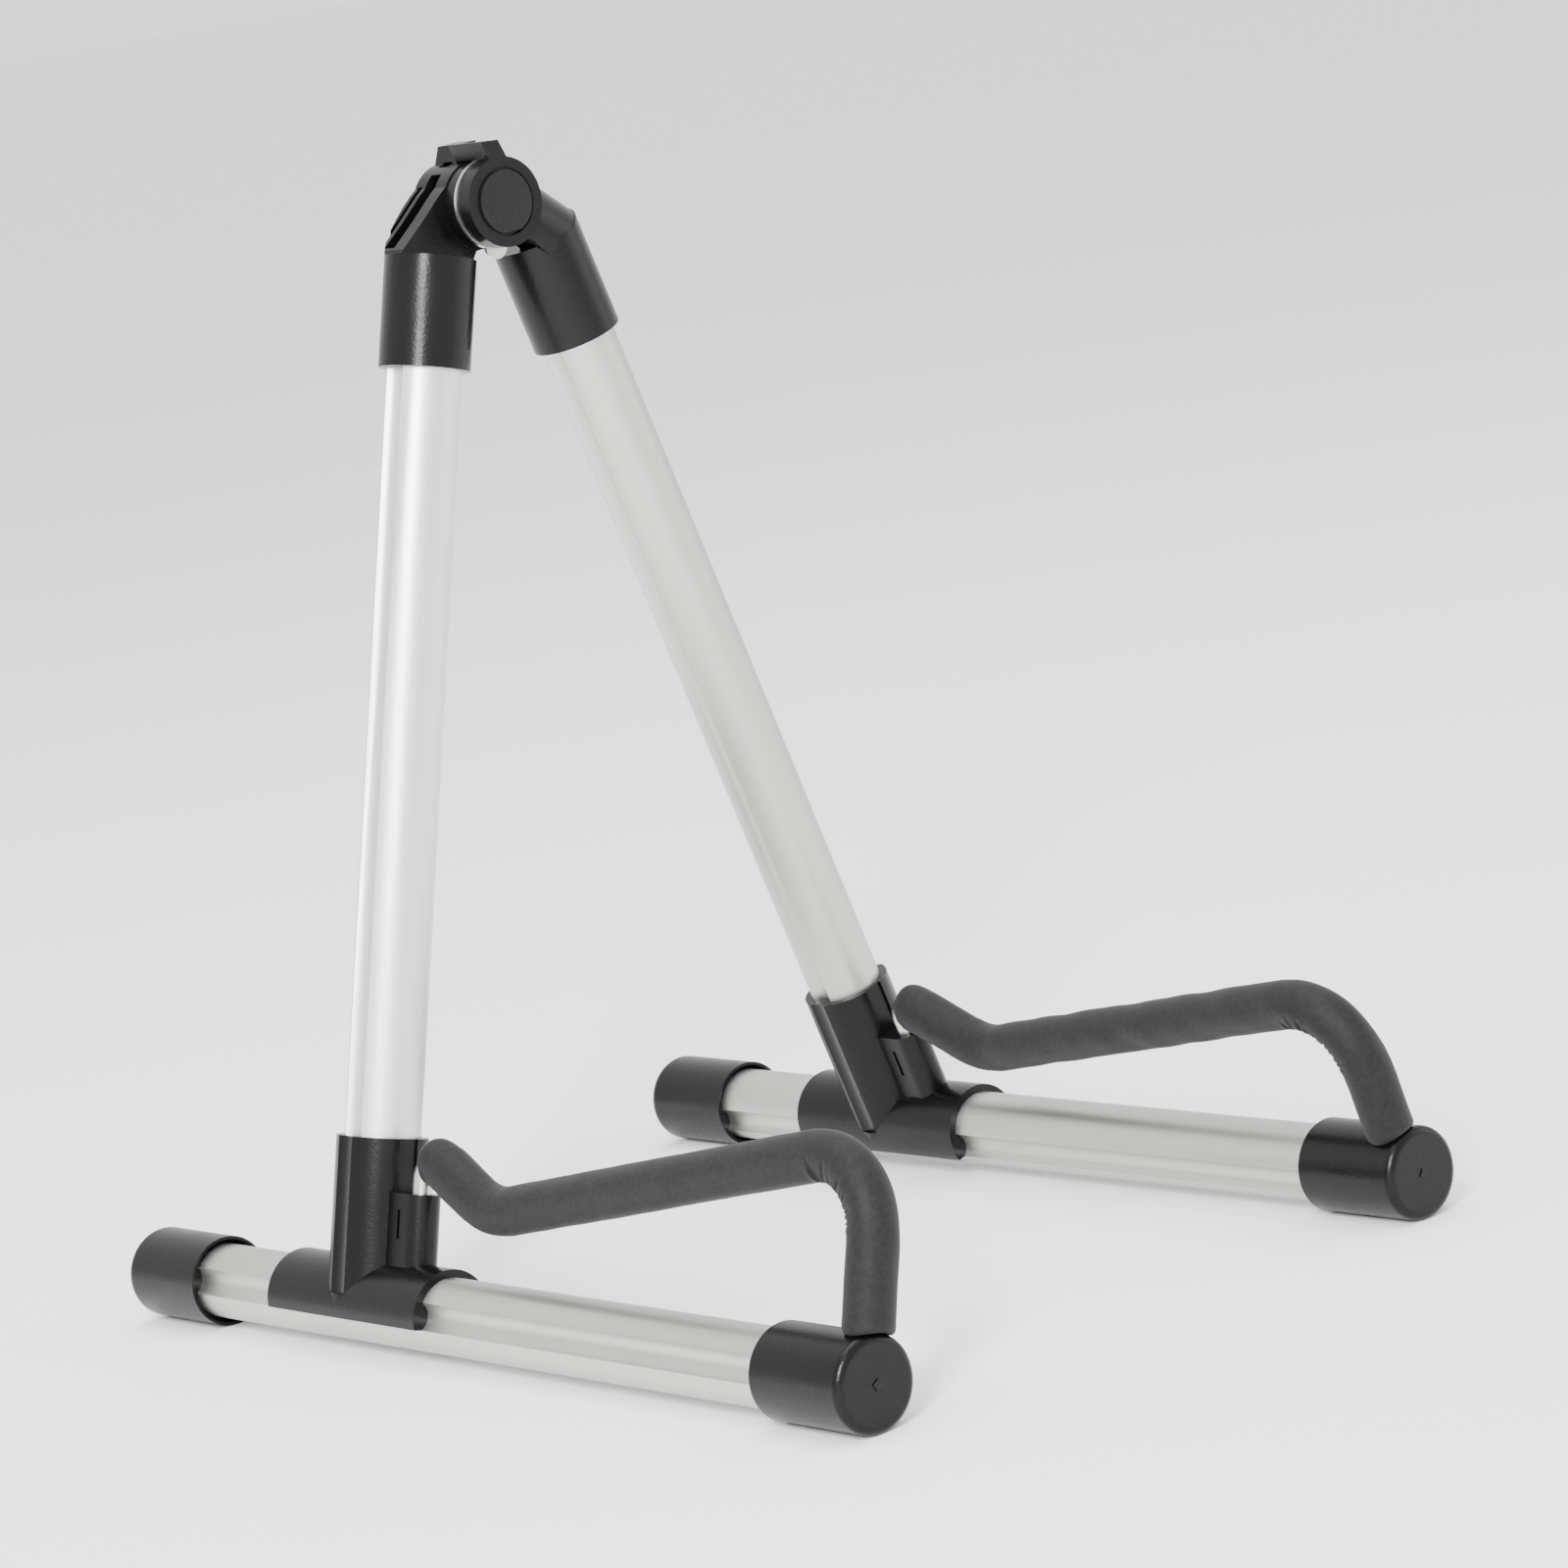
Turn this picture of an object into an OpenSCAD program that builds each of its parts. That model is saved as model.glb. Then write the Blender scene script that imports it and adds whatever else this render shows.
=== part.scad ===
// Folding A-frame instrument stand.
// Two T-shaped sides (leg, base tube and padded cradle arm) meet at a hinge on top.
// Origin: on the floor, under the centre of the stand. +X right, -Y front, +Z up.
// Each side is drawn in its own plane: X across it, Y along the base tube and
// Z up the leg, measured from the crossing of the leg's and the base tube's axes.

/* [Stand] */
// Lean of each leg from upright, in degrees
leg_lean = 15.9; // [14:0.1:18]
// Distance from the base tube's axis up the leg to the height of the hinge pin
hinge_rise = 317.3; // [300:0.1:330]
// Sideways distance from the hinge pin to each leg's axis
hinge_side = 15; // [14.8:0.1:16]
// Base tube from the leg's axis to the end of the rear cap
rear_reach = 110; // [100:1:120]
// Base tube from the leg's axis to the face of the front cap
front_reach = 223.4; // [222.6:0.1:224]

/* [Tubes] */
// Outer radius of the grooved aluminium tube
tube_r = 11; // [10.8:0.1:11.2]
// Wall of the tube
tube_wall = 1.5; // [1.2:0.1:1.7]
// Radius of each rounded groove
groove_r = 4.6; // [4.4:0.1:4.8]
// Distance from the tube's axis to the centre of each groove's arc
groove_set = 12.8; // [12.6:0.1:13]

/* [Plastic] */
// Outer radius of the caps on the base tubes
cap_r = 13.3; // [13:0.1:13.6]
// Outer radius of the sleeves around the legs
sleeve_r = 13.3; // [13:0.1:13.6]
// Radial gap between a tube and the plastic that holds it
fit_gap = 0.05; // [0.03:0.01:0.08]
// Length of each cap
cap_len = 36; // [34:1:38]

/* [Arm] */
// Radius of the steel rod in the arm
rod_r = 3; // [2.8:0.1:3.2]
// Outer radius of the foam sleeve on the rod
foam_r = 7; // [6.5:0.1:7.2]
// Distance in front of the leg's axis of the arm's front post
post_set = 218; // [217.6:0.1:218.4]
// Distance in front of the leg's axis of the arm's turned-down rear end
hook_set = 20.8; // [20.6:0.1:21]

/* [Hinge] */
// Radius of the hinge's round knuckle
knuckle_r = 13; // [12.8:0.1:13.2]
// Radius of the hinge pin
pin_r = 3; // [2.8:0.1:3.2]
// Running gap between the pin and the parts that turn on it
run_gap = 0.05; // [0.03:0.01:0.08]

/* [Hidden] */
$fn = 96;

aluminium = [0.78, 0.78, 0.76];
black = [0.16, 0.16, 0.16];
charcoal = [0.27, 0.27, 0.27];
steel = [0.72, 0.72, 0.70];

// The stand's depth is centred: the foam's front and the rear caps are its ends
leg_y = (post_set + foam_r - rear_reach) / 2;
base_x = hinge_side * cos(leg_lean) + hinge_rise * sin(leg_lean);
hinge_z = cap_r - hinge_side * sin(leg_lean) + hinge_rise * cos(leg_lean);

tube_end_gap = 3;             // end of a base tube to the outside of its rear cap
front_solid = 17;             // solid front of the front cap, which holds the post
saddle_front = 38;            // ends of the tee's saddle along the base tube
saddle_rear = 34.5;
saddle_drop = 3.9;            // how far the saddle's lips pass the tube's axis
sleeve_top = 48;              // rim of the tee's upright sleeve
leg_foot = 13.6;              // lower end of the leg inside the tee
leg_screw_up = 284;           // heights of the screws along the leg
tee_screw_up = 30.6;
pad_over = 1.6;               // how far the tee's rear pad stands proud
socket_top = 33;              // top of the tee's front socket
socket_r = 5.3;               // round front of that socket
hinge_sleeve_low = 268;       // hinge sleeve, from its lower rim
hinge_sleeve_top = 300;       // to its shoulder
leg_top = 296;                // upper end of the leg inside the hinge sleeve
split_y = -2.15;              // plane between the hinge's two halves
split_gap = 0.3;              // gap across that plane
knuckle_front = -14.4;        // front face of the right half's knuckle
knuckle_rear = -8.7;          // its rear face
lug_split = 2;                // where the left half's lug begins, behind the right's
plate_thick = 1;              // steel plate behind that face
plate_over = 0.4;             // how far the plate stands proud of the knuckle all round
half_depth = 13.2;            // half the depth of the hinge's plates
eps = 0.01;

// Corners of the arm rod in the side's own plane, front post last, as
// [distance in front of the leg, height, bend radius]
arm_path = [
    [-hook_set, 14.6, 0],
    [-hook_set, 46, 5.5],
    [-54.5, 28.8, 25],
    [-post_set, 58.7, 20],
    [-post_set, -9, 0]
];
// The foam begins past the first bend and ends above the front cap's collar
run_dir = direction(arm_path[1], arm_path[2]);
foam_skip = trim(arm_path, 1) + 0.8;
foam_path = [
    [arm_path[1][0] + foam_skip * cos(run_dir), arm_path[1][1] + foam_skip * sin(run_dir), 0],
    arm_path[2],
    arm_path[3],
    [-post_set, 14.2, 0]
];

// Outline of the grooved tube, grown by g and without its hollow
module tube_outline(g = 0) {
    difference() {
        circle(r = tube_r + g);
        for (s = [-1, 1]) translate([s * groove_set, 0]) circle(r = groove_r - g);
    }
}

// Section of the tube: the same outline, hollowed to an even wall
module tube_section() {
    difference() {
        tube_outline();
        difference() {
            circle(r = tube_r - tube_wall);
            for (s = [-1, 1]) translate([s * groove_set, 0]) circle(r = groove_r + tube_wall);
        }
    }
}

// Places children, drawn in the right side's plane, on the stand
module on_right() {
    translate([0, leg_y, hinge_z]) rotate([0, -leg_lean, 0])
        translate([hinge_side, 0, -hinge_rise]) children();
}
module on_left() { mirror([1, 0, 0]) on_right() children(); }

// Lays an extrusion along the base tube: starts at y0 and runs to the rear for len
module along_base(y0, len) {
    translate([0, y0 + len, 0]) rotate([90, 0, 0]) linear_extrude(len) children();
}

// A round bar of radius r along a path of [x, y, bend radius] in the XY plane
function direction(a, b) = atan2(b[1] - a[1], b[0] - a[0]);
function turn(a, b, c) = (direction(b, c) - direction(a, b) + 540) % 360 - 180;
function trim(p, i) = (i == 0 || i == len(p) - 1) ? 0
    : p[i][2] * tan(abs(turn(p[i - 1], p[i], p[i + 1])) / 2);

// The straights are thinner than the bends by step and reach into them by lap
module bar_along(p, r) {
    step = 0.02;
    lap = 0.3;
    last = len(p) - 2;
    for (i = [0 : last]) {
        a = direction(p[i], p[i + 1]);
        from = i == 0 ? 0 : trim(p, i) - lap;
        span = norm([p[i + 1][0] - p[i][0], p[i + 1][1] - p[i][1]]);
        to = i == last ? span : span - trim(p, i + 1) + lap;
        translate([p[i][0], p[i][1], 0]) rotate([0, 0, a])
            translate([from, 0, 0]) rotate([0, 90, 0])
                cylinder(r = r - step, h = to - from);
    }
    for (i = [1 : len(p) - 2]) {
        a = direction(p[i - 1], p[i]);
        t = turn(p[i - 1], p[i], p[i + 1]);
        side = sign(t);
        translate([p[i][0], p[i][1], 0]) rotate([0, 0, a])
            translate([-trim(p, i), side * p[i][2], 0])
                rotate([0, 0, side > 0 ? -90 : 90 + t])
                    rotate_extrude(angle = abs(t)) translate([p[i][2], 0]) circle(r = r);
    }
}

// Turns the XY plane into a side's own plane: X to its Y, and Y to its Z
module in_side_plane() { rotate([90, 0, 90]) children(); }

// Round-ended plug outline for a cap: radius r, length len, end rounded by f
module cap_solid(r, len, f) {
    rotate_extrude() union() {
        square([r - f, len]);
        square([r, len - f]);
        translate([r - f, len - f]) intersection() {
            circle(r = f);
            square(f + eps);
        }
    }
}

// Pan-head screw: head above z = 0 and shank below
module pan_screw(head_r, head_h, shank_r, shank_len) {
    difference() {
        rotate_extrude() union() {
            square([head_r - head_h / 2, head_h]);
            square([head_r, head_h / 2]);
            translate([head_r - head_h / 2, head_h / 2]) intersection() {
                circle(r = head_h / 2);
                square(head_h);
            }
        }
        for (a = [0, 90]) rotate([0, 0, a])
            translate([-head_r / 2, -0.4, head_h / 2]) cube([head_r, 0.8, head_h]);
    }
    translate([0, 0, -shank_len]) cylinder(r = shank_r, h = shank_len + eps);
}

module leg_tube() {
    color(aluminium) difference() {
        translate([0, 0, leg_foot]) linear_extrude(leg_top - leg_foot) tube_section();
        for (w = [tee_screw_up, leg_screw_up])
            translate([0, 8, w]) rotate([-90, 0, 0]) cylinder(r = 1.6, h = 4);
    }
}

module base_tube() {
    tube_start = -front_reach + front_solid + 0.4;
    tube_end = rear_reach - tube_end_gap;
    color(aluminium) along_base(tube_start, tube_end - tube_start) tube_section();
}

// Saddle that clips over the base tube, upright sleeve for the leg, and the
// socket in front that takes the arm's turned-down end
module tee() {
    bore_r = tube_r + fit_gap;
    color(black) difference() {
        union() {
            intersection() {
                translate([0, saddle_rear, 0]) rotate([90, 0, 0])
                    cylinder(r = sleeve_r, h = saddle_front + saddle_rear);
                translate([-20, -saddle_front - 1, -saddle_drop]) cube([40, 80, 40]);
            }
            cylinder(r = sleeve_r, h = sleeve_top);
            // socket: a block with a round front
            translate([-socket_r, -hook_set, 0]) cube([2 * socket_r, hook_set - 9, socket_top]);
            translate([0, -hook_set, 0]) cylinder(r = socket_r, h = socket_top);
            // boss for the rear screw
            intersection() {
                translate([-7, 0, 22.9]) cube([14, sleeve_r + pad_over, 15.5]);
                cylinder(r = sleeve_r + pad_over, h = sleeve_top);
            }
        }
        along_base(-saddle_front - 1, 80) tube_outline(fit_gap);
        translate([0, 0, leg_foot - 0.1]) linear_extrude(sleeve_top) tube_outline(fit_gap);
        // hole for the arm's rear end
        translate([0, -hook_set, 14.4]) cylinder(r = rod_r + fit_gap, h = 30);
        // shallow channels that follow the grooves on both sides of the sleeve
        for (s = [-1, 1]) translate([s * (sleeve_r + 7.5), 0, 3]) cylinder(r = 8.5, h = 60);
        // recess down the front of the sleeve, above the socket
        translate([-3.1, -sleeve_r - 1, socket_top]) cube([6.2, 2.2, 30]);
        // moulding slit in each side of the socket
        for (s = [-1, 1]) translate([s * socket_r - 0.8, -17.9, 20]) cube([1.6, 1.2, 8.4]);
        translate([0, 0, tee_screw_up]) screw_hole(sleeve_r + pad_over - 0.4);
    }
}

module rear_cap() {
    wall_end = rear_reach - tube_end_gap + 0.1;
    color(black) difference() {
        translate([0, rear_reach - cap_len, 0]) rotate([-90, 0, 0]) cap_solid(cap_r, cap_len, 3.5);
        along_base(rear_reach - cap_len - 1, wall_end - rear_reach + cap_len + 1) tube_outline(fit_gap);
        // relief around the mouth
        translate([0, rear_reach - cap_len - eps, 0]) rotate([-90, 0, 0])
            cylinder(r1 = tube_r + 1.4, r2 = tube_r + fit_gap, h = 2.4);
    }
}

module front_cap() {
    color(black) difference() {
        union() {
            translate([0, -front_reach + cap_len, 0]) rotate([90, 0, 0])
                cap_solid(cap_r, cap_len, 2.4);
            // gate mark in the middle of the face
            translate([0, -front_reach + eps, 0]) rotate([90, 0, 0])
                cylinder(r = 1.7, h = 0.35, $fn = 4);
        }
        along_base(-front_reach + front_solid, cap_len) tube_outline(fit_gap);
        translate([0, -front_reach + cap_len + eps, 0]) rotate([90, 0, 0])
            cylinder(r1 = tube_r + 1.4, r2 = tube_r + fit_gap, h = 2.4);
        translate([0, -post_set, -9.2]) cylinder(r = rod_r + fit_gap, h = 30);
    }
}

module arm_rod() {
    color(steel) in_side_plane() bar_along(arm_path, rod_r, $fn = 40);
}

module arm_foam() {
    color(charcoal) in_side_plane() difference() {
        bar_along(foam_path, foam_r, $fn = 40);
        bar_along(arm_path, rod_r + fit_gap, $fn = 40);
    }
}

// One hinge half without its knuckle, drawn around the hinge pin in the stand's
// own axes: x away from the pin, y from the split plane inwards to the plate's face
module hinge_plate(depth) {
    rotate([90, 0, 0]) translate([0, 0, -depth]) linear_extrude(depth)
        polygon([
            [0, 12.6], [3.9, 12.0], [13.3, 5.2], [21.2, -1.6], [29.5, -8.2],
            [33, -14], [9, -20], [4, -13], [-1, -12.6]
        ]);
}

// Elbow that leads from the knuckle to the sleeve, in the side's own axes: a
// tapered arm runs down to the sleeve's column and meets it in a mitre
module hinge_elbow(rear) {
    fall = 19;
    far = norm([hinge_side, fall]);
    nx = fall / far;
    nz = hinge_side / far;
    mitre = atan2(hinge_side, fall) / 2;
    edge = knuckle_r + 0.05;
    reach = edge / cos(mitre);
    corner = [hinge_side + reach * cos(mitre), reach * sin(mitre) - fall];
    intersection() {
        translate([0, rear, 0]) rotate([90, 0, 0]) linear_extrude(rear + 16)
            polygon([
                [0, 0], [edge * nx, edge * nz], corner, [hinge_side, -fall],
                [hinge_side - 6, -fall - 6 * tan(mitre)], [3.5, -12.2]
            ]);
        rotate([0, 180 - 2 * mitre, 0]) translate([0, 0, -2])
            cylinder(r1 = -knuckle_front, r2 = 12.2, h = 46);
    }
    intersection() {
        translate([0, rear, 0]) rotate([90, 0, 0]) linear_extrude(rear + 16)
            polygon([
                [hinge_side, -fall], [hinge_side + 15, 15 * tan(mitre) - fall],
                [hinge_side + 15, -30], [hinge_side, -30]
            ]);
        translate([hinge_side, 0, -60]) cylinder(r = sleeve_r - 0.03, h = 70);
    }
}

module hinge_lug(depth) {
    rotate([90, 0, 0]) translate([0, 0, -depth]) linear_extrude(depth)
        polygon([[-4, 8], [-2.6, 11], [-5.2, 18.1], [0.9, 17.8], [3.2, 12.2], [4, 8]]);
}

// Space of a leg's own cylinder, from the hinge sleeve's rim upwards
module leg_column(r) {
    rotate([0, -leg_lean, 0]) translate([hinge_side, 0, hinge_sleeve_low - hinge_rise])
        cylinder(r = r, h = 80);
}

module hinge_bore() {
    rotate([0, -leg_lean, 0])
        translate([hinge_side, 0, hinge_sleeve_low - hinge_rise - 1])
            linear_extrude(leg_top - hinge_sleeve_low + 1.2) tube_outline(fit_gap);
}

module hinge_sleeve() {
    rotate([0, -leg_lean, 0]) translate([hinge_side, 0, hinge_sleeve_low - hinge_rise])
        cylinder(r = sleeve_r, h = hinge_sleeve_top - hinge_sleeve_low);
}

// Hole and flat seat for a pan-head screw; seat is how far out its head sits
module screw_hole(seat) {
    translate([0, 8, 0]) rotate([-90, 0, 0]) cylinder(r = 1.6, h = 10);
    translate([0, seat - 0.02, 0]) rotate([-90, 0, 0]) cylinder(r = 3.3, h = 10);
}

module hinge_screw_hole() {
    rotate([0, -leg_lean, 0]) translate([hinge_side, 0, leg_screw_up - hinge_rise])
        screw_hole(sleeve_r - 0.4);
}

// Long recesses in the sloping roof of a half; y0 and w are their place and width
module roof_slot(y0, w, from, to) {
    slope = 39.3;
    translate([8.5, y0, 8.6]) rotate([0, slope, 0]) translate([from, 0, -5]) cube([to - from, w, 10]);
}

// Right half: its plate is in front, and its knuckle carries the cover
module right_hinge_half() {
    color(black) translate([0, leg_y, hinge_z]) difference() {
        union() {
            hinge_sleeve();
            difference() {
                union() {
                    rotate([0, -leg_lean, 0]) hinge_elbow(split_y - split_gap / 2);
                    translate([0, knuckle_front, 0]) hinge_lug(lug_split - 0.4 - knuckle_front);
                }
                // room for the barrel and the other half's knuckle
                translate([0, 10, 0]) rotate([90, 0, 0])
                    cylinder(r = knuckle_r + plate_over + 0.1, h = 10 - knuckle_rear);
            }
            translate([0, knuckle_rear, 0]) rotate([90, 0, 0])
                cylinder(r = knuckle_r, h = knuckle_rear - knuckle_front);
        }
        hinge_bore();
        hinge_screw_hole();
        // pin hole and the seat of the cover
        translate([0, -5, 0]) rotate([90, 0, 0]) cylinder(r = pin_r + 0.02, h = 20);
        translate([0, knuckle_front + 1.4, 0]) rotate([90, 0, 0]) cylinder(r = 9.9, h = 5);
    }
}

// Left half: its plate and knuckle are behind
module left_hinge_half() {
    near = split_y + split_gap / 2;
    color(black) translate([0, leg_y, hinge_z]) difference() {
        union() {
            mirror([1, 0, 0]) hinge_sleeve();
            mirror([1, 0, 0]) intersection() {
                translate([0, near, 0]) hinge_plate(half_depth - near);
                union() {
                    leg_column(sleeve_r);
                    translate([-20, near, -22]) cube([37, half_depth - near, 50]);
                }
            }
            translate([0, half_depth, 0]) rotate([90, 0, 0])
                cylinder(r = knuckle_r, h = half_depth - near);
            mirror([1, 0, 0]) translate([0, lug_split, 0]) hinge_lug(12.5 - lug_split);
        }
        mirror([1, 0, 0]) hinge_bore();
        mirror([1, 0, 0]) hinge_screw_hole();
        mirror([1, 0, 0]) roof_slot(9.8, 1.9, 2.5, 24);
        mirror([1, 0, 0]) roof_slot(3.2, 4.9, -1.5, 26);
        // square pocket in the lug's outer face
        translate([-5, 3.7, 9.8]) cube([3.6, 4.8, 3.4]);
        // seat of the barrel, and the pin hole
        translate([0, 9, 0]) rotate([90, 0, 0]) cylinder(r = 10.6, h = 9 - near + 1);
        translate([0, 20, 0]) rotate([90, 0, 0]) cylinder(r = pin_r + run_gap, h = 20);
    }
}

// Barrel between the knuckles: fixed in the left half, the pin turns in it
module hinge_barrel() {
    near = split_y + split_gap / 2;
    front = knuckle_rear + plate_thick + 0.1;
    color(black) translate([0, leg_y, hinge_z]) difference() {
        union() {
            translate([0, near - 0.1, 0]) rotate([90, 0, 0])
                cylinder(r = knuckle_r - 0.4, h = near - 0.1 - front);
            translate([0, 8.9, 0]) rotate([90, 0, 0]) cylinder(r = 10.5, h = 8.9 - near + 0.2);
        }
        translate([0, 10, 0]) rotate([90, 0, 0]) cylinder(r = pin_r + run_gap, h = 25);
    }
}

// Round steel plate with an ear below, fixed behind the right half's knuckle
module hinge_stop_plate() {
    color(steel) translate([0, leg_y + knuckle_rear + plate_thick, hinge_z]) rotate([90, 0, 0])
        difference() {
            union() {
                cylinder(r = knuckle_r + plate_over, h = plate_thick);
                translate([-1.6, -12.2, 0]) cylinder(r = 3.8, h = plate_thick);
            }
            translate([0, 0, -1]) cylinder(r = pin_r + 0.02, h = 3);
        }
}

module hinge_pin() {
    color(steel) translate([0, leg_y, hinge_z]) {
        translate([0, half_depth + 1.9, 0]) rotate([90, 0, 0])
            cylinder(r = pin_r, h = half_depth + 1.9 - knuckle_front - 1.5);
        // formed head outside the washer
        translate([0, half_depth + 0.9, 0]) rotate([-90, 0, 0]) intersection() {
            cylinder(r = 4.6, h = 1.6);
            translate([0, 0, -5.2]) sphere(r = 7);
        }
    }
}

// Round cover with one flat, in the front of the right half's knuckle
module hinge_cover() {
    color(charcoal) translate([0, leg_y + knuckle_front + 1.3, hinge_z]) rotate([90, 0, 0])
        difference() {
            union() {
                cylinder(r = 9.8, h = 0.8);
                cylinder(r = 9.1, h = 1.9);
            }
            translate([-10, -19.2, -1]) cube([20, 10.6, 5]);
        }
}

module hinge_rivet_washer() {
    color(steel) translate([0, leg_y + half_depth + 0.1, hinge_z]) rotate([-90, 0, 0]) difference() {
        cylinder(r = 6, h = 0.8);
        translate([0, 0, -1]) cylinder(r = pin_r + 0.1, h = 3);
    }
}

module leg_screw() {
    color(steel) translate([0, sleeve_r - 0.4, leg_screw_up]) rotate([-90, 0, 0])
        pan_screw(3.1, 1.8, 1.5, 4);
}

module tee_screw() {
    color(steel) translate([0, sleeve_r + pad_over - 0.4, tee_screw_up]) rotate([-90, 0, 0])
        pan_screw(3.1, 1.6, 1.5, 5.5);
}

on_left() leg_tube();  // left_leg_tube
on_right() leg_tube();  // right_leg_tube
on_left() base_tube();  // left_base_tube
on_right() base_tube();  // right_base_tube
on_left() tee();  // left_tee
on_right() tee();  // right_tee
on_left() rear_cap();  // left_rear_cap
on_right() rear_cap();  // right_rear_cap
on_left() front_cap();  // left_front_cap
on_right() front_cap();  // right_front_cap
on_left() arm_rod();  // left_arm_rod
on_right() arm_rod();  // right_arm_rod
on_left() arm_foam();  // left_arm_foam
on_right() arm_foam();  // right_arm_foam
left_hinge_half();
right_hinge_half();
hinge_barrel();
hinge_stop_plate();
hinge_pin();
hinge_cover();
hinge_rivet_washer();
on_left() leg_screw();  // left_leg_screw
on_right() leg_screw();  // right_leg_screw
on_left() tee_screw();  // left_tee_screw
on_right() tee_screw();  // right_tee_screw
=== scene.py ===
import math

import bpy
import numpy as np
from mathutils import Matrix, Vector


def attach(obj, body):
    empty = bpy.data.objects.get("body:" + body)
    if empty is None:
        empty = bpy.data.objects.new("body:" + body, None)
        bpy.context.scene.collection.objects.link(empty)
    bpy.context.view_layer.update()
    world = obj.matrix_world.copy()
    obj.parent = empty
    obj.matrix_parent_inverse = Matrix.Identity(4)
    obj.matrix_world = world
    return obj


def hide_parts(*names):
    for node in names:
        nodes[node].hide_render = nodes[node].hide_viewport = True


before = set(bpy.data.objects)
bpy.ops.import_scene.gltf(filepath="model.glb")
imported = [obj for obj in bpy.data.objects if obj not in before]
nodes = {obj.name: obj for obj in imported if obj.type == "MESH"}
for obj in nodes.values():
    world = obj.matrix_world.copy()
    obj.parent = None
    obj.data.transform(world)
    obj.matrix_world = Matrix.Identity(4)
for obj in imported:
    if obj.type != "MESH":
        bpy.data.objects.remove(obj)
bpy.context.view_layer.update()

# ---------------------------------------------------------------- camera
# A long lens, a little above the stand's middle, in front of it and to the
# left, rolled so that the legs lean across the frame.
az, el, roll = (math.radians(a) for a in (-38.337, 9.092, -9.365))
eye = (-0.9656, -1.2611, 0.3939)
back = Vector(
    (math.sin(az) * math.cos(el), -math.cos(az) * math.cos(el), math.sin(el))
)
level = (-back).cross(Vector((0, 0, 1))).normalized()
rise = level.cross(-back)
side = math.cos(roll) * level + math.sin(roll) * rise
up = -math.sin(roll) * level + math.cos(roll) * rise
lens = bpy.data.cameras.new("camera")
lens.sensor_width, lens.lens = 36, 129.245
lens.clip_start, lens.clip_end = 0.05, 50
camera = bpy.data.objects.new("camera", lens)
bpy.context.scene.collection.objects.link(camera)
camera.matrix_world = Matrix(
    (
        (side.x, up.x, back.x, eye[0]),
        (side.y, up.y, back.y, eye[1]),
        (side.z, up.z, back.z, eye[2]),
        (0, 0, 0, 1),
    )
)
bpy.context.scene.camera = camera

# ---------------------------------------------------------------- floor and light
# A pale matt floor that runs out to the horizon, under an even white sky.
floor_half = 30
corners = ((-1, -1), (1, -1), (1, 1), (-1, 1))
floor_mesh = bpy.data.meshes.new("floor")
floor_mesh.from_pydata(
    [(floor_half * x, floor_half * y, 0) for x, y in corners], [], [(0, 1, 2, 3)]
)
floor = bpy.data.objects.new("floor", floor_mesh)
bpy.context.scene.collection.objects.link(floor)
mat = bpy.data.materials.new("floor")
mat.use_nodes = True
shade = mat.node_tree.nodes["Principled BSDF"]
shade.inputs["Base Color"].default_value = (0.94, 0.94, 0.94, 1)
shade.inputs["Roughness"].default_value = 0.85
shade.inputs["Specular IOR Level"].default_value = 0.1
floor_mesh.materials.append(mat)

world = bpy.data.worlds.new("studio")
bpy.context.scene.world = world
world.use_nodes = True
sky = world.node_tree.nodes["Background"]
sky.inputs["Color"].default_value = (1, 1, 1, 1)
sky.inputs["Strength"].default_value = 1.6

# Large soft boxes: one over the left shoulder, a low one on the right and a
# long one overhead.
for name, place, aim, size, power in (
    ("key", (-1.5, -1.2, 1.2), (0, 0, 0.15), (0.45, 0.9), 90),
    ("fill", (1.9, -1.2, 0.8), (0, 0, 0.15), (1.2, 1.4), 10),
    ("top", (0, 0.2, 2.2), (0, 0, 0), (2.0, 1.2), 40),
):
    lamp = bpy.data.lights.new(name, "AREA")
    lamp.shape = "RECTANGLE"
    lamp.size, lamp.size_y = size
    lamp.energy = power
    obj = bpy.data.objects.new(name, lamp)
    bpy.context.scene.collection.objects.link(obj)
    obj.location = place
    beam = Vector(aim) - Vector(place)
    obj.rotation_euler = beam.to_track_quat("-Z", "Y").to_euler()


# ---------------------------------------------------------------- tubes
# Extruded aluminium tube with a rounded groove down two sides, satin and clear
# anodised. The die leaves very fine lines along the whole length.
def group(name, inputs, outputs):
    """An empty shader node group with named sockets, and its two end nodes."""
    g = bpy.data.node_groups.new(name, "ShaderNodeTree")
    for label, kind, value in inputs:
        s = g.interface.new_socket(label, in_out="INPUT", socket_type=kind)
        if value is not None:
            s.default_value = value
    for label, kind in outputs:
        g.interface.new_socket(label, in_out="OUTPUT", socket_type=kind)
    return g, g.nodes.new("NodeGroupInput"), g.nodes.new("NodeGroupOutput")


def math_node(g, op, a, b=None, clamp=False):
    """A maths node in g; a and b are sockets or numbers."""
    n = g.nodes.new("ShaderNodeMath")
    n.operation = op
    n.use_clamp = clamp
    for i, x in enumerate((a, b)):
        if x is None:
            continue
        if isinstance(x, (int, float)):
            n.inputs[i].default_value = x
        else:
            g.links.new(x, n.inputs[i])
    return n.outputs[0]


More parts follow.
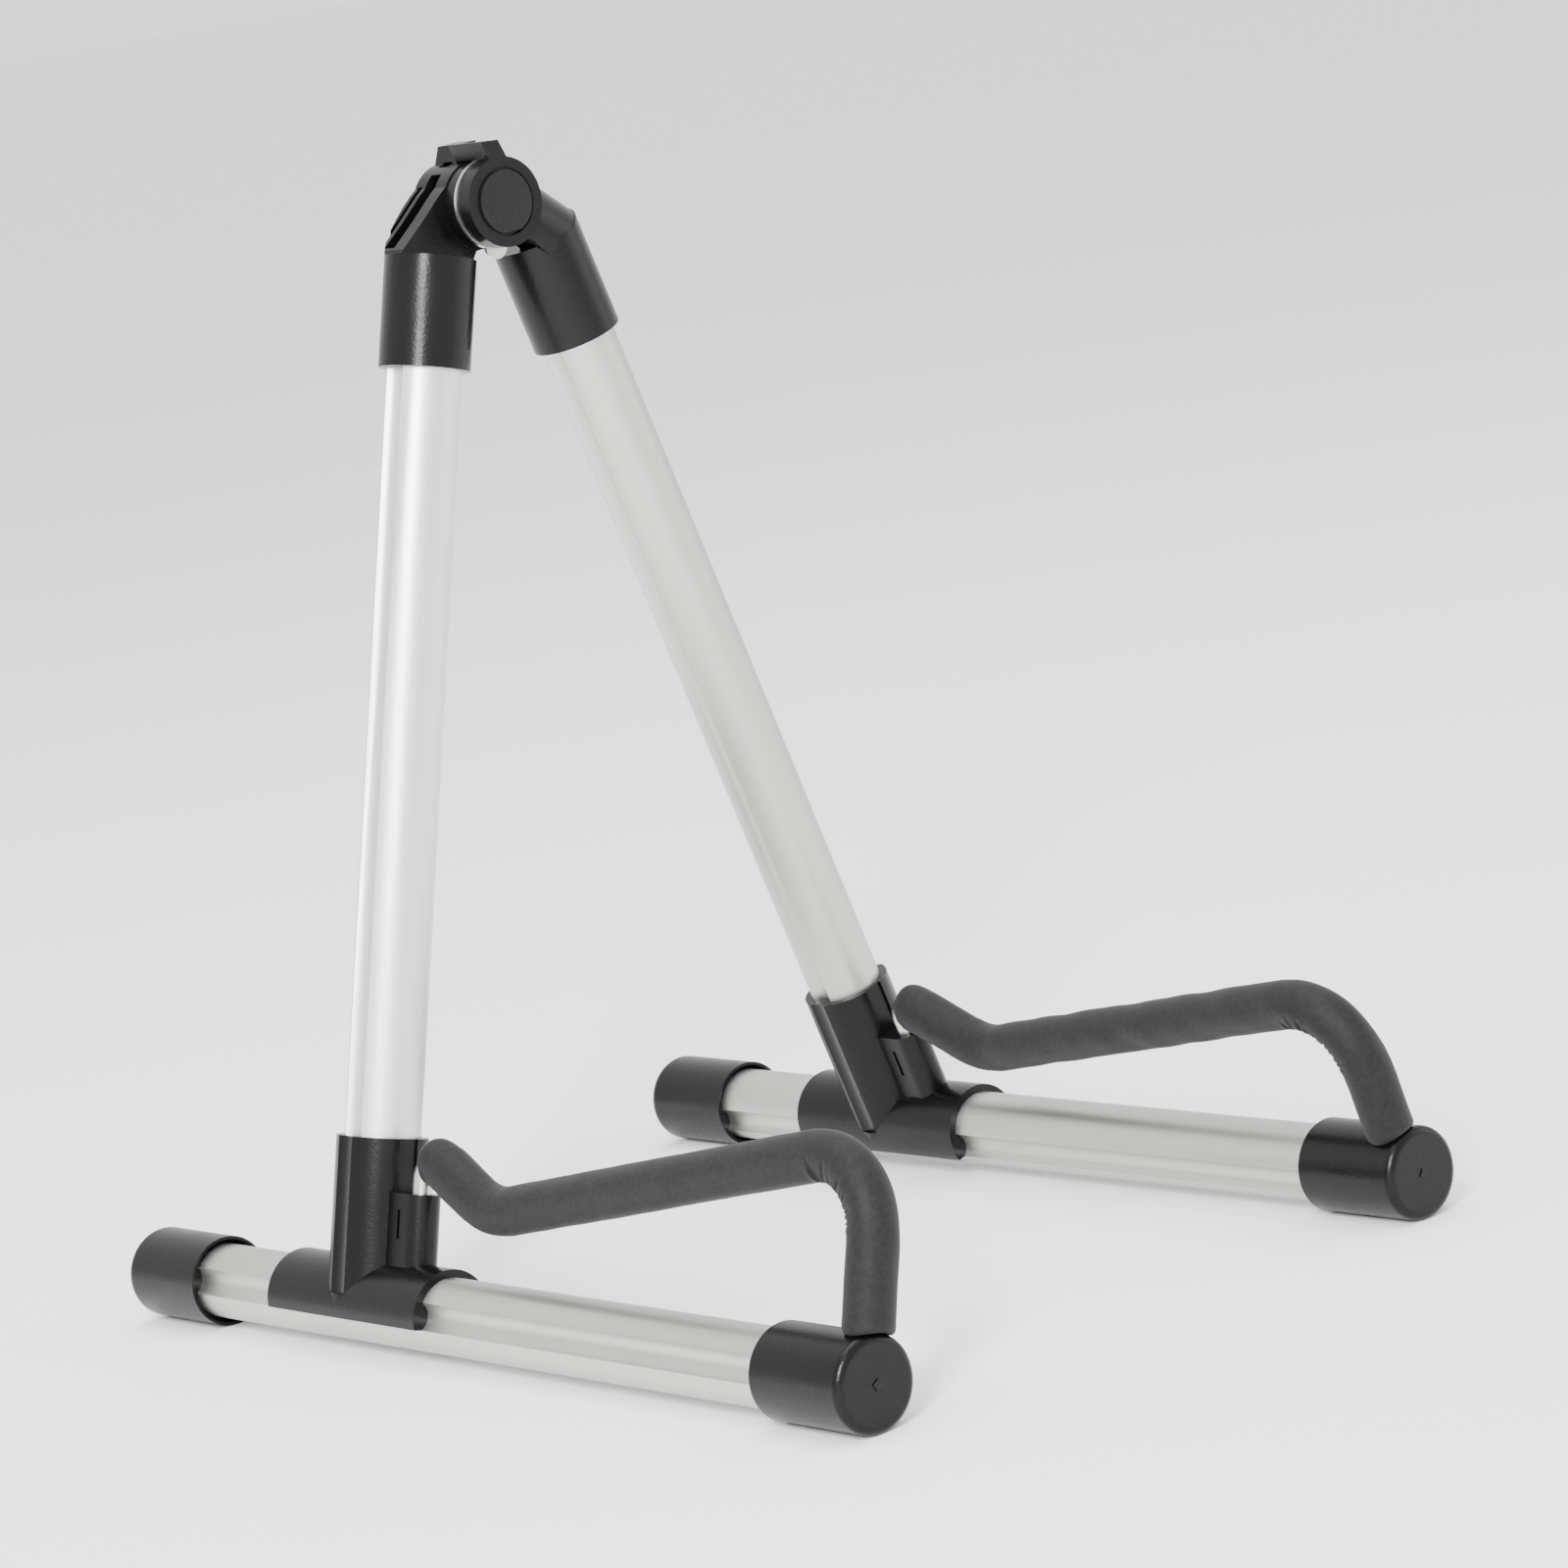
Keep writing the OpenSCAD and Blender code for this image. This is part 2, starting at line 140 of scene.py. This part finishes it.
# Fine lines along an axis: noise that is squeezed across and stretched along it
lines, gi, go = group(
    "drawn lines",
    [
        ("Position", "NodeSocketVector", None),
        ("Lean", "NodeSocketFloat", 0.0),
        ("Fineness", "NodeSocketFloat", 2600.0),
        ("Along", "NodeSocketFloat", 6.0),
    ],
    [("Lines", "NodeSocketFloat"), ("Cloud", "NodeSocketFloat")],
)
lay = lines.nodes.new("ShaderNodeVectorRotate")
lay.rotation_type = "Y_AXIS"
lines.links.new(gi.outputs["Position"], lay.inputs["Vector"])
lines.links.new(gi.outputs["Lean"], lay.inputs["Angle"])
split = lines.nodes.new("ShaderNodeSeparateXYZ")
lines.links.new(lay.outputs[0], split.inputs[0])
join = lines.nodes.new("ShaderNodeCombineXYZ")
for axis, factor in (("X", "Fineness"), ("Y", "Fineness"), ("Z", "Along")):
    scaled = math_node(lines, "MULTIPLY", split.outputs[axis], gi.outputs[factor])
    lines.links.new(scaled, join.inputs[axis])
fine = lines.nodes.new("ShaderNodeTexNoise")
fine.inputs["Scale"].default_value = 1
fine.inputs["Detail"].default_value = 3
fine.inputs["Roughness"].default_value = 0.6
lines.links.new(join.outputs[0], fine.inputs["Vector"])
lines.links.new(fine.outputs["Fac"], go.inputs["Lines"])
cloud = lines.nodes.new("ShaderNodeTexNoise")
cloud.inputs["Scale"].default_value = 38
cloud.inputs["Detail"].default_value = 4
lines.links.new(gi.outputs["Position"], cloud.inputs["Vector"])
lines.links.new(cloud.outputs["Fac"], go.inputs["Cloud"])


def dress(node, material):
    """Give a CAD node this material and no other."""
    own = nodes[node].data.materials
    own.clear()
    own.append(material)


def tube_material(name, base, lean, rough, flat):
    """Satin anodised tube with drawn lines along its axis.

    lean turns the lines from +Z about Y to the tube's axis; flat lays them
    along Y. Roughness is rough, plus or minus 0.06 from line to line and 0.05
    from patch to patch; the tint runs from 0.93 to 1.05 times base.
    """
    m = bpy.data.materials.new(name)
    m.use_nodes = True
    t = m.node_tree
    bsdf = t.nodes["Principled BSDF"]
    bsdf.inputs["Metallic"].default_value = 1.0
    bsdf.inputs["Anisotropic"].default_value = 0.35
    at = t.nodes.new("ShaderNodeTexCoord").outputs["Object"]
    if flat:
        turn = t.nodes.new("ShaderNodeVectorRotate")
        turn.rotation_type = "X_AXIS"
        turn.inputs["Angle"].default_value = math.pi / 2
        t.links.new(at, turn.inputs["Vector"])
        at = turn.outputs[0]
    g = t.nodes.new("ShaderNodeGroup")
    g.node_tree = lines
    g.inputs["Lean"].default_value = lean
    t.links.new(at, g.inputs["Position"])
    r = math_node(t, "MULTIPLY_ADD", g.outputs["Lines"], 0.12)
    r.node.inputs[2].default_value = rough - 0.06
    r2 = math_node(t, "MULTIPLY_ADD", g.outputs["Cloud"], 0.10)
    t.links.new(r, r2.node.inputs[2])
    t.links.new(math_node(t, "SUBTRACT", r2, 0.05, True), bsdf.inputs["Roughness"])
    tint = t.nodes.new("ShaderNodeMix")
    tint.data_type = "RGBA"
    t.links.new(g.outputs["Lines"], tint.inputs["Factor"])
    tint.inputs["A"].default_value = (*[c * 0.93 for c in base], 1)
    tint.inputs["B"].default_value = (*[min(c * 1.05, 1) for c in base], 1)
    t.links.new(tint.outputs["Result"], bsdf.inputs["Base Color"])
    bump = t.nodes.new("ShaderNodeBump")
    bump.inputs["Strength"].default_value = 0.12
    bump.inputs["Distance"].default_value = 0.00004
    t.links.new(g.outputs["Lines"], bump.inputs["Height"])
    t.links.new(bump.outputs[0], bsdf.inputs["Normal"])
    return m


leg_lean = math.radians(15.9)
# All four tubes are the same anodised aluminium: the left leg's paler base colour is
# painted light, the darker base of the other three painted shade.
for node, lay_angle, flat, tone_with_painted_light in (
    ("left_leg_tube", -leg_lean, False, (0.76, 0.76, 0.76)),
    ("right_leg_tube", leg_lean, False, (0.54, 0.54, 0.52)),
    ("left_base_tube", 0.0, True, (0.53, 0.53, 0.51)),
    ("right_base_tube", 0.0, True, (0.53, 0.53, 0.51)),
):
    dress(node, tube_material(node, tone_with_painted_light, lay_angle, 0.42, flat))

# ---------------------------------------------------------------- black plastic
# Caps, tees and hinge halves are moulded in black nylon. The mould's spark
# eroded skin shows as an even fine grain, and convex corners are paler.
grain, gi, go = group(
    "moulded grain",
    [
        ("Position", "NodeSocketVector", None),
        ("Size", "NodeSocketFloat", 1500.0),
        ("Depth", "NodeSocketFloat", 0.5),
    ],
    [
        ("Height", "NodeSocketFloat"),
        ("Normal", "NodeSocketVector"),
        ("Cloud", "NodeSocketFloat"),
    ],
)
cells = grain.nodes.new("ShaderNodeTexVoronoi")
cells.feature = "SMOOTH_F1"
cells.inputs["Smoothness"].default_value = 0.6
grain.links.new(gi.outputs["Position"], cells.inputs["Vector"])
grain.links.new(gi.outputs["Size"], cells.inputs["Scale"])
soft = grain.nodes.new("ShaderNodeTexNoise")
soft.inputs["Detail"].default_value = 2
grain.links.new(gi.outputs["Position"], soft.inputs["Vector"])
soft_size = math_node(grain, "MULTIPLY", gi.outputs["Size"], 0.45)
grain.links.new(soft_size, soft.inputs["Scale"])
height = math_node(grain, "MULTIPLY_ADD", cells.outputs["Distance"], 0.6)
grain.links.new(soft.outputs["Fac"], height.node.inputs[2])
bump = grain.nodes.new("ShaderNodeBump")
bump.inputs["Distance"].default_value = 0.00008
grain.links.new(gi.outputs["Depth"], bump.inputs["Strength"])
grain.links.new(height, bump.inputs["Height"])
wide = grain.nodes.new("ShaderNodeTexNoise")
wide.inputs["Scale"].default_value = 60
wide.inputs["Detail"].default_value = 5
grain.links.new(gi.outputs["Position"], wide.inputs["Vector"])
grain.links.new(height, go.inputs["Height"])
grain.links.new(bump.outputs[0], go.inputs["Normal"])
grain.links.new(wide.outputs["Fac"], go.inputs["Cloud"])


def plastic_material(name, dark, pale, rough, size=1500.0, depth=0.5):
    """Grained moulded plastic.

    It is dark in the hollows of the grain and pale on its tops and on convex
    edges. Roughness is rough, plus or minus 0.08 from patch to patch.
    """
    m = bpy.data.materials.new(name)
    m.use_nodes = True
    t = m.node_tree
    bsdf = t.nodes["Principled BSDF"]
    bsdf.inputs["Specular IOR Level"].default_value = 0.2
    at = t.nodes.new("ShaderNodeTexCoord").outputs["Object"]
    g = t.nodes.new("ShaderNodeGroup")
    g.node_tree = grain
    g.inputs["Size"].default_value = size
    g.inputs["Depth"].default_value = depth
    t.links.new(at, g.inputs["Position"])
    # Convex edges, found by pointiness, are mixed towards the paler colour.
    convexity = t.nodes.new("ShaderNodeNewGeometry").outputs["Pointiness"]
    edge = t.nodes.new("ShaderNodeMapRange")
    t.links.new(convexity, edge.inputs["Value"])
    edge.inputs["From Min"].default_value = 0.52
    edge.inputs["From Max"].default_value = 0.62
    mix = math_node(t, "MULTIPLY_ADD", g.outputs["Height"], 0.5)
    t.links.new(math_node(t, "MULTIPLY", edge.outputs[0], 0.5), mix.node.inputs[2])
    tint = t.nodes.new("ShaderNodeMix")
    tint.data_type = "RGBA"
    t.links.new(math_node(t, "MINIMUM", mix, 1.0), tint.inputs["Factor"])
    tint.inputs["A"].default_value = (*dark, 1)
    tint.inputs["B"].default_value = (*pale, 1)
    t.links.new(tint.outputs["Result"], bsdf.inputs["Base Color"])
    r = math_node(t, "MULTIPLY_ADD", g.outputs["Cloud"], 0.16)
    r.node.inputs[2].default_value = rough - 0.08
    t.links.new(r, bsdf.inputs["Roughness"])
    t.links.new(g.outputs["Normal"], bsdf.inputs["Normal"])
    return m


black = plastic_material("black nylon", (0.001,) * 3, (0.0042,) * 3, 0.28)
for node in (
    "left_tee",
    "right_tee",
    "left_rear_cap",
    "right_rear_cap",
    "left_front_cap",
    "right_front_cap",
    "left_hinge_half",
    "right_hinge_half",
    "hinge_barrel",
):
    dress(node, black)

# The round cover on the hinge has a coarser, duller grain and is a shade paler.
cover = plastic_material(
    "cover", (0.0015,) * 3, (0.011, 0.0106, 0.0102), 0.5, size=1300.0, depth=0.8
)
dress("hinge_cover", cover)

# ---------------------------------------------------------------- steel
# Arm rods, pin, stop plate, washer and screws: steel with a thin zinc plate,
# slightly blotched where the plate is thicker.
def steel_material(name, base, rough, scale):
    """Zinc-plated steel: broad blotches in tint and shine over fine specks."""
    m = bpy.data.materials.new(name)
    m.use_nodes = True
    t = m.node_tree
    bsdf = t.nodes["Principled BSDF"]
    bsdf.inputs["Metallic"].default_value = 1.0
    at = t.nodes.new("ShaderNodeTexCoord").outputs["Object"]
    blotch = t.nodes.new("ShaderNodeTexNoise")
    blotch.inputs["Scale"].default_value = scale
    blotch.inputs["Detail"].default_value = 6
    t.links.new(at, blotch.inputs["Vector"])
    speck = t.nodes.new("ShaderNodeTexNoise")
    speck.inputs["Scale"].default_value = scale * 12
    t.links.new(at, speck.inputs["Vector"])
    tint = t.nodes.new("ShaderNodeMix")
    tint.data_type = "RGBA"
    t.links.new(blotch.outputs["Fac"], tint.inputs["Factor"])
    tint.inputs["A"].default_value = (*[c * 0.86 for c in base], 1)
    tint.inputs["B"].default_value = (*base, 1)
    t.links.new(tint.outputs["Result"], bsdf.inputs["Base Color"])
    r = math_node(t, "MULTIPLY_ADD", speck.outputs["Fac"], 0.16)
    r.node.inputs[2].default_value = rough - 0.08
    t.links.new(r, bsdf.inputs["Roughness"])
    bump = t.nodes.new("ShaderNodeBump")
    bump.inputs["Strength"].default_value = 0.1
    bump.inputs["Distance"].default_value = 0.00005
    t.links.new(speck.outputs["Fac"], bump.inputs["Height"])
    t.links.new(bump.outputs[0], bsdf.inputs["Normal"])
    return m


for node, base, rough, scale, place in (
    ("left_arm_rod", (0.66, 0.64, 0.60), 0.3, 160, "rod"),
    ("right_arm_rod", (0.66, 0.64, 0.60), 0.3, 160, "rod"),
    ("hinge_stop_plate", (0.68, 0.67, 0.64), 0.34, 220, "plate"),
    ("hinge_rivet_washer", (0.62, 0.60, 0.57), 0.34, 260, "plate"),
    ("hinge_pin", (0.60, 0.59, 0.56), 0.3, 260, "screw"),
    ("left_leg_screw", (0.56, 0.55, 0.52), 0.32, 320, "screw"),
    ("right_leg_screw", (0.56, 0.55, 0.52), 0.32, 320, "screw"),
    ("left_tee_screw", (0.56, 0.55, 0.52), 0.32, 320, "screw"),
    ("right_tee_screw", (0.56, 0.55, 0.52), 0.32, 320, "screw"),
):
    dress(node, steel_material(node, base, rough, scale))


# ---------------------------------------------------------------- foam sleeves
# A tube of charcoal closed-cell foam is pushed over each arm rod. It creases
# on the inside of the big front bend and ripples under the shallow rear one.
def rounded_path(corners, step):
    """Evenly spaced points and tangents along straight runs joined by arcs.

    Each corner is (x, y, radius). An arc starts radius * tan(turn / 2) before
    its corner and ends as far past it, so it is tangent to both runs.
    """
    pts = [np.array(corners[0][:2], float)]
    for i in range(1, len(corners) - 1):
        a, b, c = (np.array(corners[j][:2], float) for j in (i - 1, i, i + 1))
        r = corners[i][2]
        d0, d1 = (b - a) / np.linalg.norm(b - a), (c - b) / np.linalg.norm(c - b)
        cross = d0[0] * d1[1] - d0[1] * d1[0]
        turn = math.atan2(cross, float(d0 @ d1))
        trim = r * math.tan(abs(turn) / 2)
        n = np.array([-d0[1], d0[0]]) * math.copysign(1, turn)
        centre = b - d0 * trim + n * r
        for k in np.linspace(0, 1, 60):
            q = turn * k
            rot = np.array([[math.cos(q), -math.sin(q)], [math.sin(q), math.cos(q)]])
            pts.append(centre + rot @ (-n * r))
    pts.append(np.array(corners[-1][:2], float))
    pts = np.array(pts)
    run = np.r_[0, np.cumsum(np.linalg.norm(np.diff(pts, axis=0), axis=1))]
    s = np.linspace(0, run[-1], int(run[-1] / step) + 1)
    p = np.c_[np.interp(s, run, pts[:, 0]), np.interp(s, run, pts[:, 1])]
    t = np.gradient(p, s, axis=0)
    t /= np.linalg.norm(t, axis=1)[:, None]
    return s, p, t


def smooth(x, lo, hi):
    """0 below lo, 1 above hi, and an S-shaped rise 3k^2 - 2k^3 between them."""
    k = np.clip((x - lo) / (hi - lo), 0, 1)
    return k * k * (3 - 2 * k)


def foam_sleeve(name, hand, corners, rod_corners, seed):
    """A hollow sleeve swept along the arm, in mm until it is placed.

    At distance s along the path and angle a round it (0 on top), the outside
    stands at radius 7 mm, plus slow lumps, plus a bulge on the inside of each
    bend, less a flat on its outside, less the creases, less a rounded lip at
    both ends. A crease is a narrow furrow: its depth is a bell curve of the
    distance from its line, faded out away from the inside of the bend. The
    front end is pressed down on the round cap: at a distance c to the side it
    drops by 13.3 - sqrt(13.3^2 - c^2) + 0.3.
    """
    outer, bore_r, cap_r, count = 7.0, 3.1, 13.3, 100
    rng = np.random.default_rng(seed)
    s, p, t = rounded_path(corners, 0.36)
    length = s[-1]
    a = np.linspace(0, 2 * np.pi, count, endpoint=False)
    nrm = np.c_[t[:, 1], -t[:, 0]]
    bend = np.gradient(np.unwrap(np.arctan2(t[:, 1], t[:, 0])), s)
    kernel = np.hanning(25)
    bend = np.convolve(np.pad(bend, 12, "edge"), kernel / kernel.sum(), "valid")
    S, A = np.meshgrid(s, a, indexing="ij")
    B = np.repeat(bend[:, None], count, 1)
    inner = np.where(B > 0, -np.cos(A), np.cos(A))
    strength = smooth(np.abs(B), 0.008, 0.05)

    # slow lumps in the wall
    lumps = np.zeros_like(S)
    for _ in range(14):
        k, m, ph = rng.uniform(0.05, 0.45), rng.integers(0, 4), rng.uniform(0, 6.28)
        lumps += rng.normal(0, 0.028) * np.sin(k * S + m * A + ph)

    # creases: each is a narrow furrow across the inside of the bend
    crease = np.zeros_like(S)
    at = s[0] + 1.0
    while at < length - 3:
        mid = int(np.searchsorted(s, at))
        sharp = abs(bend[min(mid, len(s) - 1)])
        if sharp > 0.01:
            wide = rng.uniform(0.35, 0.62)
            deep = rng.uniform(0.3, 0.8) * (1.0 if sharp > 0.047 else 0.08)
            reach = rng.uniform(-0.1, 0.45)
            skew = rng.normal(0, 0.9)
            d = S - at - skew * np.sin(A)
            fade = smooth(inner, reach - 0.15, reach + 0.45)
            crease += deep * np.exp(-((d / wide) ** 2)) * fade
        at += rng.uniform(1.3, 2.4)
    bulge = 0.30 * strength * smooth(inner, 0.2, 0.9)
    flat = -0.28 * strength * smooth(-inner, 0.3, 1.0)

    # rounded lips at both ends
    lip = 1.9
    edge = np.minimum(S, length - S)
    arc = lip - np.sqrt(np.maximum(lip**2 - (lip - edge) ** 2, 0))
    radius = outer + lumps + bulge + flat - crease - np.where(edge < lip, arc, 0)

    # the point of the floor tube's axis under the leg, and the leg's own axes
    origin = np.array([hand * 0.10136, 0.0575, 0.0133])
    out = np.array([hand * math.cos(leg_lean), 0, math.sin(leg_lean)])
    rear = np.array([0, 1.0, 0])
    rise = np.array([-hand * math.sin(leg_lean), 0, math.cos(leg_lean)])

    def place(v, w, u):
        """mm along the floor tube, up the leg and across it, as m in the stand."""
        v, w, u = (np.asarray(x)[..., None] / 1000 for x in (v, w, u))
        return origin + v * rear + w * rise + u * out

    ca, sa = np.cos(A), np.sin(A)
    across = np.clip(np.abs(radius * sa), 0, outer)
    press = cap_r - np.sqrt(cap_r**2 - across**2) + 0.3
    press = press * smooth(S, length - 9, length - 0.6)
    n0, n1 = nrm[:, 0][:, None], nrm[:, 1][:, None]
    outside = place(
        p[:, 0][:, None] + radius * ca * n0,
        p[:, 1][:, None] + radius * ca * n1 - press,
        radius * sa,
    )
    _, rp, rt = rounded_path(rod_corners, 2.5)
    rn = np.c_[rt[:, 1], -rt[:, 0]]
    rows = len(rp)
    RA = np.repeat(a[None], rows, 0)
    bore = place(
        rp[:, 0][:, None] + bore_r * np.cos(RA) * rn[:, 0][:, None],
        rp[:, 1][:, None] + bore_r * np.cos(RA) * rn[:, 1][:, None],
        bore_r * np.sin(RA),
    )
    rings = np.concatenate([outside, bore[::-1]])
    total = len(rings)
    verts = rings.reshape(-1, 3)
    i = np.arange(total)[:, None]
    j = np.arange(count)[None]
    i2, j2 = (i + 1) % total, (j + 1) % count
    quads = np.stack(
        [i * count + j, i2 * count + j, i2 * count + j2, i * count + j2], -1
    ).reshape(-1, 4)
    if hand < 0:
        quads = quads[:, ::-1]
    mesh = bpy.data.meshes.new(name)
    mesh.vertices.add(len(verts))
    mesh.vertices.foreach_set("co", verts.astype(np.float32).ravel())
    mesh.loops.add(quads.size)
    mesh.loops.foreach_set("vertex_index", quads.astype(np.int32).ravel())
    mesh.polygons.add(len(quads))
    mesh.polygons.foreach_set("loop_start", np.arange(0, quads.size, 4, dtype=np.int32))
    mesh.polygons.foreach_set("use_smooth", np.ones(len(quads), bool))
    mesh.update(calc_edges=True)
    mesh.validate()
    depth = mesh.attributes.new("crease", "FLOAT", "POINT")
    value = np.concatenate([crease, np.zeros((rows, count))]).ravel()
    depth.data.foreach_set("value", value.astype(np.float32))
    obj = bpy.data.objects.new(name, mesh)
    bpy.context.scene.collection.objects.link(obj)
    return obj


foam = bpy.data.materials.new("foam")
foam.use_nodes = True
t = foam.node_tree
bsdf = t.nodes["Principled BSDF"]
bsdf.inputs["Specular IOR Level"].default_value = 0.2
bsdf.inputs["Sheen Weight"].default_value = 0.04
bsdf.inputs["Sheen Roughness"].default_value = 0.5
at = t.nodes.new("ShaderNodeTexCoord").outputs["Object"]
g = t.nodes.new("ShaderNodeGroup")
g.node_tree = grain
g.inputs["Size"].default_value = 1250
g.inputs["Depth"].default_value = 0.75
t.links.new(at, g.inputs["Position"])
scuff = t.nodes.new("ShaderNodeTexNoise")
scuff.inputs["Scale"].default_value = 620
scuff.inputs["Detail"].default_value = 7
scuff.inputs["Roughness"].default_value = 0.7
t.links.new(at, scuff.inputs["Vector"])
tint = t.nodes.new("ShaderNodeMix")
tint.data_type = "RGBA"
spread = t.nodes.new("ShaderNodeMapRange")
spread.inputs["From Min"].default_value = 0.25
spread.inputs["From Max"].default_value = 0.75
t.links.new(scuff.outputs["Fac"], spread.inputs["Value"])
t.links.new(spread.outputs[0], tint.inputs["Factor"])
tint.inputs["A"].default_value = (0.003, 0.003, 0.003, 1)
tint.inputs["B"].default_value = (0.0125, 0.0121, 0.0117, 1)
# Painted shade: the base colour is darkened towards near black in the creases, by their
# depth.
deep = t.nodes.new("ShaderNodeAttribute")
deep.attribute_name = "crease"
shadow = t.nodes.new("ShaderNodeMix")
shadow.data_type = "RGBA"
depth = math_node(t, "MULTIPLY", deep.outputs["Fac"], 0.9, True)
t.links.new(depth, shadow.inputs["Factor"])
t.links.new(tint.outputs["Result"], shadow.inputs["A"])
shadow.inputs["B"].default_value = (0.0015, 0.0015, 0.0015, 1)
t.links.new(shadow.outputs["Result"], bsdf.inputs["Base Color"])
r = math_node(t, "MULTIPLY_ADD", g.outputs["Cloud"], 0.2)
r.node.inputs[2].default_value = 0.52
t.links.new(r, bsdf.inputs["Roughness"])
t.links.new(g.outputs["Normal"], bsdf.inputs["Normal"])

rod_run = [(-30.2, 41.2, 0), (-54.5, 28.8, 25), (-218, 58.7, 20), (-218, 14.2, 0)]
left_run = [
    (-26.0, 42.9, 0),
    (-28.5, 42.9, 10),
    (-55, 30.0, 22),
    (-218.7, 61.2, 20),
    (-218.7, 13.7, 0),
]
right_run = [
    (-26.2, 42.0, 0),
    (-28.6, 42.0, 10),
    (-54, 28.4, 22),
    (-216.8, 56.6, 19),
    (-216.8, 13.7, 0),
]
for name, hand, corners, seed in (
    ("left_foam", -1, left_run, 3),
    ("right_foam", 1, right_run, 8),
):
    sleeve = foam_sleeve(name, hand, corners, rod_run, seed)
    sleeve.data.materials.append(foam)
    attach(sleeve, "left_side" if hand < 0 else "right_side")
    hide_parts("left_arm_foam" if hand < 0 else "right_arm_foam")
